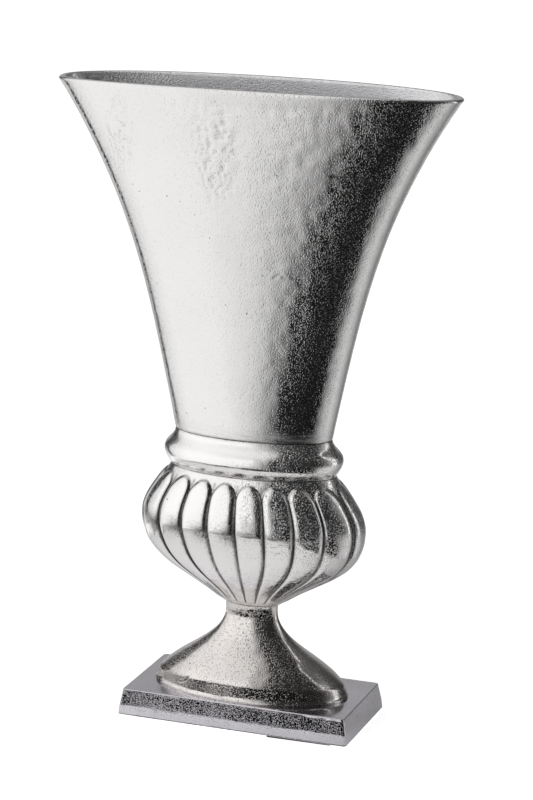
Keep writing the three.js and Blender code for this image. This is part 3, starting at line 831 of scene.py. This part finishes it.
def ramp(tree, value, low, high, to_low=0.0, to_high=1.0):
    given = {"Value": value, "From Min": low, "From Max": high, "To Min": to_low, "To Max": to_high}
    return put(tree, "MapRange", given).outputs[0]


def blend(tree, factor, first, second):
    """A colour from the first to the second; each is a colour or a node's output"""
    given = {"Factor": factor, "A": first, "B": second}
    return put(tree, "Mix", given, data_type="RGBA").outputs["Result"]


def painted(tree, name):
    return put(tree, "Attribute", attribute_name=name).outputs["Fac"]


def use(group, tree, output, inputs=None):
    return put(tree, "Group", inputs, node_tree=group).outputs[output]


def new_material(name):
    material = bpy.data.materials.new(name)
    material.use_nodes = True
    return material, material.node_tree, material.node_tree.nodes["Principled BSDF"]


def wire(tree, shader, colour, roughness, height):
    """Feeds a material's shader; the height of the surface is in metres"""
    bump = put(tree, "Bump", {"Height": height, "Strength": 1.0, "Distance": 1.0})
    feed(tree, shader, {"Base Color": colour, "Roughness": roughness, "Normal": bump.outputs[0]})


def effect(name, inputs, outputs):
    """A node group with named number inputs and outputs, and its two end nodes"""
    tree = bpy.data.node_groups.new(name, "ShaderNodeTree")
    for title, value in inputs.items():
        socket = tree.interface.new_socket(title, in_out="INPUT", socket_type="NodeSocketFloat")
        socket.default_value = value
    for title in outputs:
        tree.interface.new_socket(title, in_out="OUTPUT", socket_type="NodeSocketFloat")
    return tree, tree.nodes.new("NodeGroupInput"), tree.nodes.new("NodeGroupOutput")


def object_place(tree, stretch=(1, 1, 1)):
    place = put(tree, "TexCoord").outputs["Object"]
    if stretch == (1, 1, 1):
        return place
    return put(tree, "Mapping", {"Vector": place, "Scale": stretch}).outputs[0]


def marks_per_metre(tree, size_mm):
    return maths(tree, "DIVIDE", 1 / MM, size_mm)

# %% Sand grain
sand_grain, given, made = effect("sand grain", {"Size mm": 1.3, "Polish": 0.5}, ["Height", "Hollows"])
scale = marks_per_metre(sand_grain, given.outputs["Size mm"])
sand = put(sand_grain, "TexNoise", {"Vector": object_place(sand_grain), "Scale": scale, "Detail": 2.0})
worn_to = ramp(sand_grain, given.outputs["Polish"], 0, 1, 0.66, 0.34)
flat = maths(sand_grain, "SMOOTH_MIN", sand.outputs[0], worn_to, 0.05)
below = ramp(sand_grain, given.outputs["Polish"], 0, 1, 0.43, 0.37)
deep = maths(sand_grain, "SUBTRACT", below, sand.outputs[0])
feed(sand_grain, made, {"Height": flat, "Hollows": ramp(sand_grain, deep, 0.0, 0.08)})

# %% Casting pits
casting_pits, given, made = effect("casting pits", {"Size mm": 6.0, "Share": 0.2}, ["Pits"])
scale = marks_per_metre(casting_pits, given.outputs["Size mm"])
place = object_place(casting_pits)
bent = put(casting_pits, "TexNoise", {"Vector": place, "Scale": 900.0, "Detail": 1.0})
shifted = put(casting_pits, "VectorMath", {0: bent.outputs["Color"], "Scale": 0.9 * MM}, operation="SCALE")
place = put(casting_pits, "VectorMath", {0: place, 1: shifted.outputs[0]}).outputs[0]
cell = put(casting_pits, "TexVoronoi", {"Vector": place, "Scale": scale})
apart = put(casting_pits, "SeparateColor", {"Color": cell.outputs["Color"]})
chosen = maths(casting_pits, "LESS_THAN", apart.outputs["Red"], given.outputs["Share"])
wide = ramp(casting_pits, apart.outputs["Green"], 0, 1, 0.05, 0.13)
inside = maths(casting_pits, "SUBTRACT", 1.0, maths(casting_pits, "DIVIDE", cell.outputs["Distance"], wide))
inside = maths(casting_pits, "MAXIMUM", inside, 0.0)
feed(casting_pits, made, {"Pits": maths(casting_pits, "MULTIPLY", inside, chosen)})

# %% Cloudy tint
cloudy_tint, given, made = effect("cloudy tint", {"Size mm": 45.0}, ["Clouds"])
scale = marks_per_metre(cloudy_tint, given.outputs["Size mm"])
cloud = put(cloudy_tint, "TexNoise", {"Vector": object_place(cloudy_tint), "Scale": scale, "Detail": 3.0})
centred = maths(cloudy_tint, "SUBTRACT", cloud.outputs[0], 0.5)
feed(cloudy_tint, made, {"Clouds": maths(cloudy_tint, "MULTIPLY_ADD", centred, 2.2, 0.5, use_clamp=True)})

# %% Brushing
brushing, given, made = effect("brushing", {"Line mm": 0.5}, ["Lines"])
scale = marks_per_metre(brushing, given.outputs["Line mm"])
along_ring = object_place(brushing, (0.03, 0.03, 1))
line = put(brushing, "TexNoise", {"Vector": along_ring, "Scale": scale, "Detail": 2.0})
feed(brushing, made, {"Lines": line.outputs[0]})
print("node groups:", [group.name for group in bpy.data.node_groups])

# %% [markdown]
# ## Raw nickel
# The plating is nearly white where it is polished and warmer, darker and rougher
# in the hollows that the wheel cannot reach. Where the wheel lay flat it ground
# the grain away. On the right of the trumpet and the bowl, on the left of the foot
# and above the belt's line on the plinth the grain is still coarse.
# So one recipe takes its numbers from the piece: how tall the grain stands, how
# many pits, how dull the hollows. Three numbers painted on the mesh vary it: a
# darkening of tarnish and painted shade, coarse grain and brushing. The insides were never polished.

# %% Nickel
GRIME_AND_SHADE = (0.10, 0.09, 0.088, 1)
POLISH_VARIES = 0.15
COARSE_TALLER = 1.75
PIT_DEEP = 0.3
LINE_DEEP = 0.004


def nickel(name, grain_mm, grain_high, polish, pits, dullness,
           tint=(0.86, 0.85, 0.845), shine=0.07, metallic=1.0):
    """Grain size and height in mm; reads the painted numbers for tarnish and painted shade, coarse and
    brushed
    """
    material, tree, shader = new_material(name)
    clouds = use(cloudy_tint, tree, "Clouds")
    uneven_polish = ramp(tree, clouds, 0, 1, polish - POLISH_VARIES, polish + POLISH_VARIES)
    grain = put(tree, "Group", {"Size mm": grain_mm, "Polish": uneven_polish}, node_tree=sand_grain)
    hollows = grain.outputs["Hollows"]
    holes = use(casting_pits, tree, "Pits", {"Share": pits})
    lines = use(brushing, tree, "Lines")

    dull = [(1 - 0.25 * dullness) * part for part in tint]
    colour = blend(tree, clouds, (*dull, 1), (*tint, 1))
    in_hollows = maths(tree, "MULTIPLY", hollows, dullness)
    # Pits, dull hollows and the painted number darken the colour; that number holds tarnish and painted
    # shade in creases, valleys and grooves.
    dark = maths(tree, "MULTIPLY_ADD", holes, 1.6, in_hollows, use_clamp=True)
    broken = ramp(tree, grain.outputs["Height"], 0.36, 0.5, 2.0, 0.35)
    tarnish = maths(tree, "MULTIPLY", painted(tree, "tarnish"), broken, use_clamp=True)
    dark = maths(tree, "MAXIMUM", dark, tarnish)
    colour = blend(tree, dark, colour, GRIME_AND_SHADE)

    rough = ramp(tree, hollows, 0, 1, shine, max(0.15, shine))
    for duller in (dark, painted(tree, "brushed")):
        rough = maths(tree, "MAXIMUM", rough, maths(tree, "MULTIPLY", duller, 0.5))

    taller = ramp(tree, painted(tree, "coarse"), 0, 1, grain_high * MM, COARSE_TALLER * grain_high * MM)
    high = maths(tree, "MULTIPLY", grain.outputs["Height"], taller)
    high = maths(tree, "SUBTRACT", high, maths(tree, "MULTIPLY", holes, PIT_DEEP * MM))
    high = maths(tree, "ADD", high, maths(tree, "MULTIPLY", lines, LINE_DEEP * MM))
    wire(tree, shader, colour, rough, high)
    shader.inputs["Metallic"].default_value = metallic
    return material


polished_nickel = nickel("polished raw nickel", 1.15, 0.26, polish=0.55, pits=0.2, dullness=0.1)
inside_nickel = nickel(
    "raw nickel inside", 1.1, 0.4, polish=0.42, pits=0.3, dullness=0.2,
    tint=(0.98, 0.975, 0.99), shine=0.2, metallic=0.7,
)
collar_nickel = nickel(
    "raw nickel on the collar", 1.05, 0.31, polish=0.62, pits=0.2, dullness=0.0,
    tint=(0.97, 0.955, 0.945),
)
lobe_nickel = nickel(
    "raw nickel on the lobes", 1.05, 0.42, polish=0.64, pits=0.3, dullness=0.0,
    tint=(0.97, 0.955, 0.95),
)
foot_nickel = nickel(
    "raw nickel on the foot", 1.1, 0.42, polish=0.64, pits=0.4, dullness=0.3,
    tint=(0.885, 0.845, 0.82),
)
cast_nickel = nickel(
    "raw nickel, as cast", 0.85, 0.22, polish=0.6, pits=0.4, dullness=0.5,
    tint=(0.845, 0.82, 0.87),
)


def line_inside(piece, first_ring, around):
    """Gives the inside of a hollow casting its unpolished finish"""
    piece.data.materials.append(inside_nickel)
    for face in piece.data.polygons:
        if face.vertices[0] >= first_ring * around:
            face.material_index = 1


def dress(piece, material, node):
    piece.data.materials.append(material)
    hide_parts(node)
    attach(piece, "root")


dress(trumpet, polished_nickel, "trumpet")
dress(collar, collar_nickel, "collar_ring")
dress(bowl, lobe_nickel, "gadrooned_bowl")
dress(foot, foot_nickel, "pedestal_foot")
dress(plinth, cast_nickel, "plinth")
line_inside(trumpet, trumpet_outside.stop + len(lip) - 4, TRUMPET_AROUND)
line_inside(bowl, len(bowl_outer), BOWL_AROUND)
line_inside(plinth, len(plinth_outer) + len(plinth_face), PLINTH_AROUND)

# %% [markdown]
# ## Zinc, rubber and felt
# Zinc plate is bluer and duller than nickel, cloudy where the bath left it, with
# the fine lines of the lathe. Rubber is almost black and dusty. Felt is a mat of
# fibres: three sets of stretched noise, laid across each other, give the hairs,
# and a soft sheen lights the fuzz from the side.

# %% Zinc plate
zinc, tree, shader = new_material("zinc plate")
clouds = use(cloudy_tint, tree, "Clouds", {"Size mm": 5.0})
lines = use(brushing, tree, "Lines", {"Line mm": 0.15})
grain = use(sand_grain, tree, "Height", {"Size mm": 0.4})
colour = blend(tree, clouds, (0.56, 0.58, 0.61, 1), (0.66, 0.67, 0.67, 1))
# Painted shade: the colour that the rod's thread valleys darken towards.
valley_shade = (0.09, 0.085, 0.08, 1)
colour = blend(tree, painted(tree, "tarnish"), colour, valley_shade)
high = maths(tree, "MULTIPLY", lines, 0.02 * MM)
high = maths(tree, "ADD", high, maths(tree, "MULTIPLY", grain, 0.03 * MM))
wire(tree, shader, colour, ramp(tree, clouds, 0, 1, 0.36, 0.26), high)
shader.inputs["Metallic"].default_value = 1.0

# %% Rubber
rubber, tree, shader = new_material("black rubber")
clouds = use(cloudy_tint, tree, "Clouds", {"Size mm": 4.0})
grain = use(sand_grain, tree, "Height", {"Size mm": 0.3})
colour = blend(tree, clouds, (0.016, 0.016, 0.016, 1), (0.034, 0.033, 0.032, 1))
high = maths(tree, "MULTIPLY", grain, 0.04 * MM)
wire(tree, shader, colour, ramp(tree, clouds, 0, 1, 0.6, 0.8), high)

# %% Felt
felt, tree, shader = new_material("black felt")
hairs = None
for stretch in ((1, 0.12, 1), (0.12, 1, 1), (0.5, 0.5, 0.12)):
    laid = object_place(tree, stretch)
    laid = put(tree, "TexNoise", {"Vector": laid, "Scale": 6000.0, "Detail": 2.0}).outputs[0]
    hairs = laid if hairs is None else maths(tree, "MAXIMUM", hairs, laid)
colour = blend(tree, ramp(tree, hairs, 0.5, 0.72), (0.012, 0.012, 0.015, 1), (0.05, 0.05, 0.056, 1))
high = maths(tree, "MULTIPLY", hairs, 0.25 * MM)
wire(tree, shader, colour, ramp(tree, hairs, 0.4, 0.7, 1.0, 0.85), high)
shader.inputs["Sheen Weight"].default_value = 0.4

# %% Dress the fastenings and the pads
fastenings = {
    "tie_rod": threaded_rod,
    "bowl_washer": bowl_disc,
    "cap_nut": closed_nut,
    "plinth_washer": plinth_disc,
    "lock_nut": lower_nut,
}
for node, fastening in fastenings.items():
    dress(fastening, zinc, node)
dress(rubber_ring, rubber, "sealing_washer")
for node, pad in pads.items():
    dress(pad, felt, node)

# %% [markdown]
# ## Studio
# Polished metal shows only what stands round it, so the studio is half of the
# likeness. A tall white softbox fills the left side, the room is dark behind the
# photographer, and a narrow light stands at the right. They are far away for
# so small a vase, so the world shader draws them: a brightness for each direction
# round the vase, in one ring for what is low, one for what is high and one for
# what is overhead. Three cards are near enough to need an object of their own:
# the sheet of paper close round the plinth, the table beyond it and a dark board
# in front. Only reflections see them. To the camera the world and the floor are
# plain white.

# %% Surroundings
def direction_ring(tree, turn, stops):
    """Brightness round the vase; 0 degrees is the front and + is to the right"""
    ring = put(tree, "ValToRGB", {"Fac": turn})
    points = ring.color_ramp.elements
    while len(points) < len(stops):
        points.new(0.5)
    for point, (degrees, bright) in zip(points, stops):
        point.position = degrees / 360 + 0.5
        point.color = (bright, bright, bright, 1)
    return ring.outputs["Color"]


LOW_RING = [
    (-180, 0.8), (-112, 0.7), (-108, 0.02), (-99, 0.02), (-95, 0.8), (-65, 1.0), (-30, 0.97), (-10, 0.5),
    (4, 0.01), (48, 0.01), (66, 0.5), (90, 0.66), (145, 0.2), (165, 0.3), (180, 0.8),
]
HIGH_RING = [
    (-180, 0.35), (-155, 0.38), (-138, 0.5), (-124, 0.05), (-104, 0.05), (-97, 0.75), (-62, 1.03),
    (-13, 0.96), (2, 0.03), (62, 0.02), (90, 0.25), (96, 1.0), (108, 1.0), (114, 0.2), (121, 0.05),
    (160, 0.05), (180, 0.35),
]
TOP_RING = [
    (-180, 0.25), (-150, 0.3), (-118, 0.2), (-108, 1.0), (-60, 0.92), (-14, 0.72), (4, 0.03),
    (86, 0.02), (92, 0.95), (98, 0.1), (150, 0.08), (180, 0.25),
]
LOW_TO_HIGH = (-0.4, -0.1)
HIGH_TO_TOP = (0.5, 0.8)
world = bpy.data.worlds.new("studio")
scene.world = world
world.use_nodes = True
tree = world.node_tree
plain_white = tree.nodes["Background"]
plain_white.inputs["Color"].default_value = (1, 1, 1, 1)
way = put(tree, "SeparateXYZ", {0: put(tree, "TexCoord").outputs["Generated"]})
turn = maths(tree, "ARCTAN2", way.outputs["X"], maths(tree, "MULTIPLY", way.outputs["Y"], -1.0))
turn = ramp(tree, turn, -pi, pi)
low, high, top = (direction_ring(tree, turn, stops) for stops in (LOW_RING, HIGH_RING, TOP_RING))
room = blend(tree, ramp(tree, way.outputs["Z"], *LOW_TO_HIGH), low, high)
room = blend(tree, ramp(tree, way.outputs["Z"], *HIGH_TO_TOP), room, top)
reflected = put(tree, "Background", {"Color": room, "Strength": 1.0}).outputs[0]
by_camera = put(tree, "LightPath").outputs["Is Camera Ray"]
both = put(tree, "MixShader", {0: by_camera, 1: reflected, 2: plain_white.outputs[0]})
feed(tree, tree.nodes["World Output"], {"Surface": both.outputs[0]})
scene.view_settings.view_transform = "Standard"

# %% Floor
def studio_piece(name, points, faces):
    """A mesh that is there only for the picture, with the shader of its paint"""
    piece = piece_of(name, points, faces)
    material, tree, shader = new_material(name + "_paint")
    piece.data.materials.append(material)
    return piece, tree, shader


FLOOR_RADIUS, FLOOR_AROUND = 12.0, 96
floor_edge = oval_ring(FLOOR_RADIUS, FLOOR_RADIUS, 0, count=FLOOR_AROUND).tolist()
floor, tree, shader = studio_piece("floor", floor_edge, [list(range(FLOOR_AROUND))])
floor.visible_glossy = False
feed(tree, shader, {"Base Color": (0.9, 0.9, 0.9, 1), "Roughness": 0.9})
feed(tree, shader, {"Emission Color": (1, 1, 1, 1), "Emission Strength": 0.8})

# %% Studio cards
def ring_card(name, outline, begin, end, steps, centre=(0, 0)):
    """A glowing strip round the vase that only reflections see, from (radius, height)"""
    x, y = centre
    turns = np.radians(np.linspace(begin, end, steps))
    points = [(x + r * sin(t), y - r * cos(t), height) for r, height in outline for t in turns]
    firsts = [i + j * steps for j in range(len(outline) - 1) for i in range(steps - 1)]
    faces = [[k, k + 1, k + 1 + steps, k + steps] for k in firsts]
    card, tree, shader = studio_piece(name, points, faces)
    card.visible_camera = False
    card.visible_shadow = False
    card.visible_diffuse = False
    feed(tree, shader, {"Base Color": (0, 0, 0, 1), "Specular IOR Level": 0.0, "Emission Strength": 1.0})
    return tree, shader


def shade_along(tree, direction, begin, end, low, high):
    """A number that changes across a card, along a direction in metres"""
    place = object_place(tree)
    along = put(tree, "VectorMath", {0: place, 1: direction}, operation="DOT_PRODUCT").outputs["Value"]
    return ramp(tree, along, begin, end, low, high)


def shade_outwards(tree, begin, end, low, high):
    """A number that changes with the distance from the middle of the studio"""
    away = put(tree, "VectorMath", {0: object_place(tree)}, operation="LENGTH").outputs["Value"]
    return ramp(tree, away, begin, end, low, high)


def grey(tree, shade):
    return put(tree, "CombineColor", {0: shade, 1: shade, 2: shade}).outputs[0]

# %% Paper, table and dark board
PAPER_HIGH, TABLE_HIGH, BOARD_HIGH = 0.0002, 0.0001, 0.045
TO_BACK_RIGHT = (0.5, 1, 0)
paper = [(0.05, PAPER_HIGH), (0.26, PAPER_HIGH)]
tree, shader = ring_card("paper", paper, -180, 180, 61, centre=(-0.05, 0.05))
far_edge = shade_outwards(tree, 0.2, 0.27, 1, 0.9)
# The paper's glow and colour are painted light: bright at the front left under the softbox, and darker to
# the back right as a painted shadow of the vase.
for socket, near, far in (("Emission Color", 0.42, 0.2), ("Base Color", 0.75, 0.45)):
    across = shade_along(tree, TO_BACK_RIGHT, -0.1, 0.08, near, far)
    feed(tree, shader, {socket: grey(tree, maths(tree, "MULTIPLY", far_edge, across))})
table = [(0.2, TABLE_HIGH), (0.36, TABLE_HIGH)]
tree, shader = ring_card("table", table, -180, -12, 50, centre=(-0.035, 0.03))
outwards = shade_outwards(tree, 0.26, 0.36, 0.65, 1.0)
feed(tree, shader, {"Emission Color": grey(tree, outwards)})
dark_board = [(0.2, TABLE_HIGH), (0.28, TABLE_HIGH), (0.28, BOARD_HIGH)]
tree, shader = ring_card("dark_board", dark_board, -90, 62, 60)
# Painted light: the board glows brighter towards its top and its left end, where it blends into the
# softbox's light, and is dark low down and to the right.
by_height = shade_along(tree, (0, 0, 1), 0.006, BOARD_HIGH, 0.4, 0.9)
from_left = shade_along(tree, (1, 0, 0), -0.27, -0.2, 0.8, 0.01)
feed(tree, shader, {"Emission Color": grey(tree, maths(tree, "MULTIPLY", by_height, from_left))})
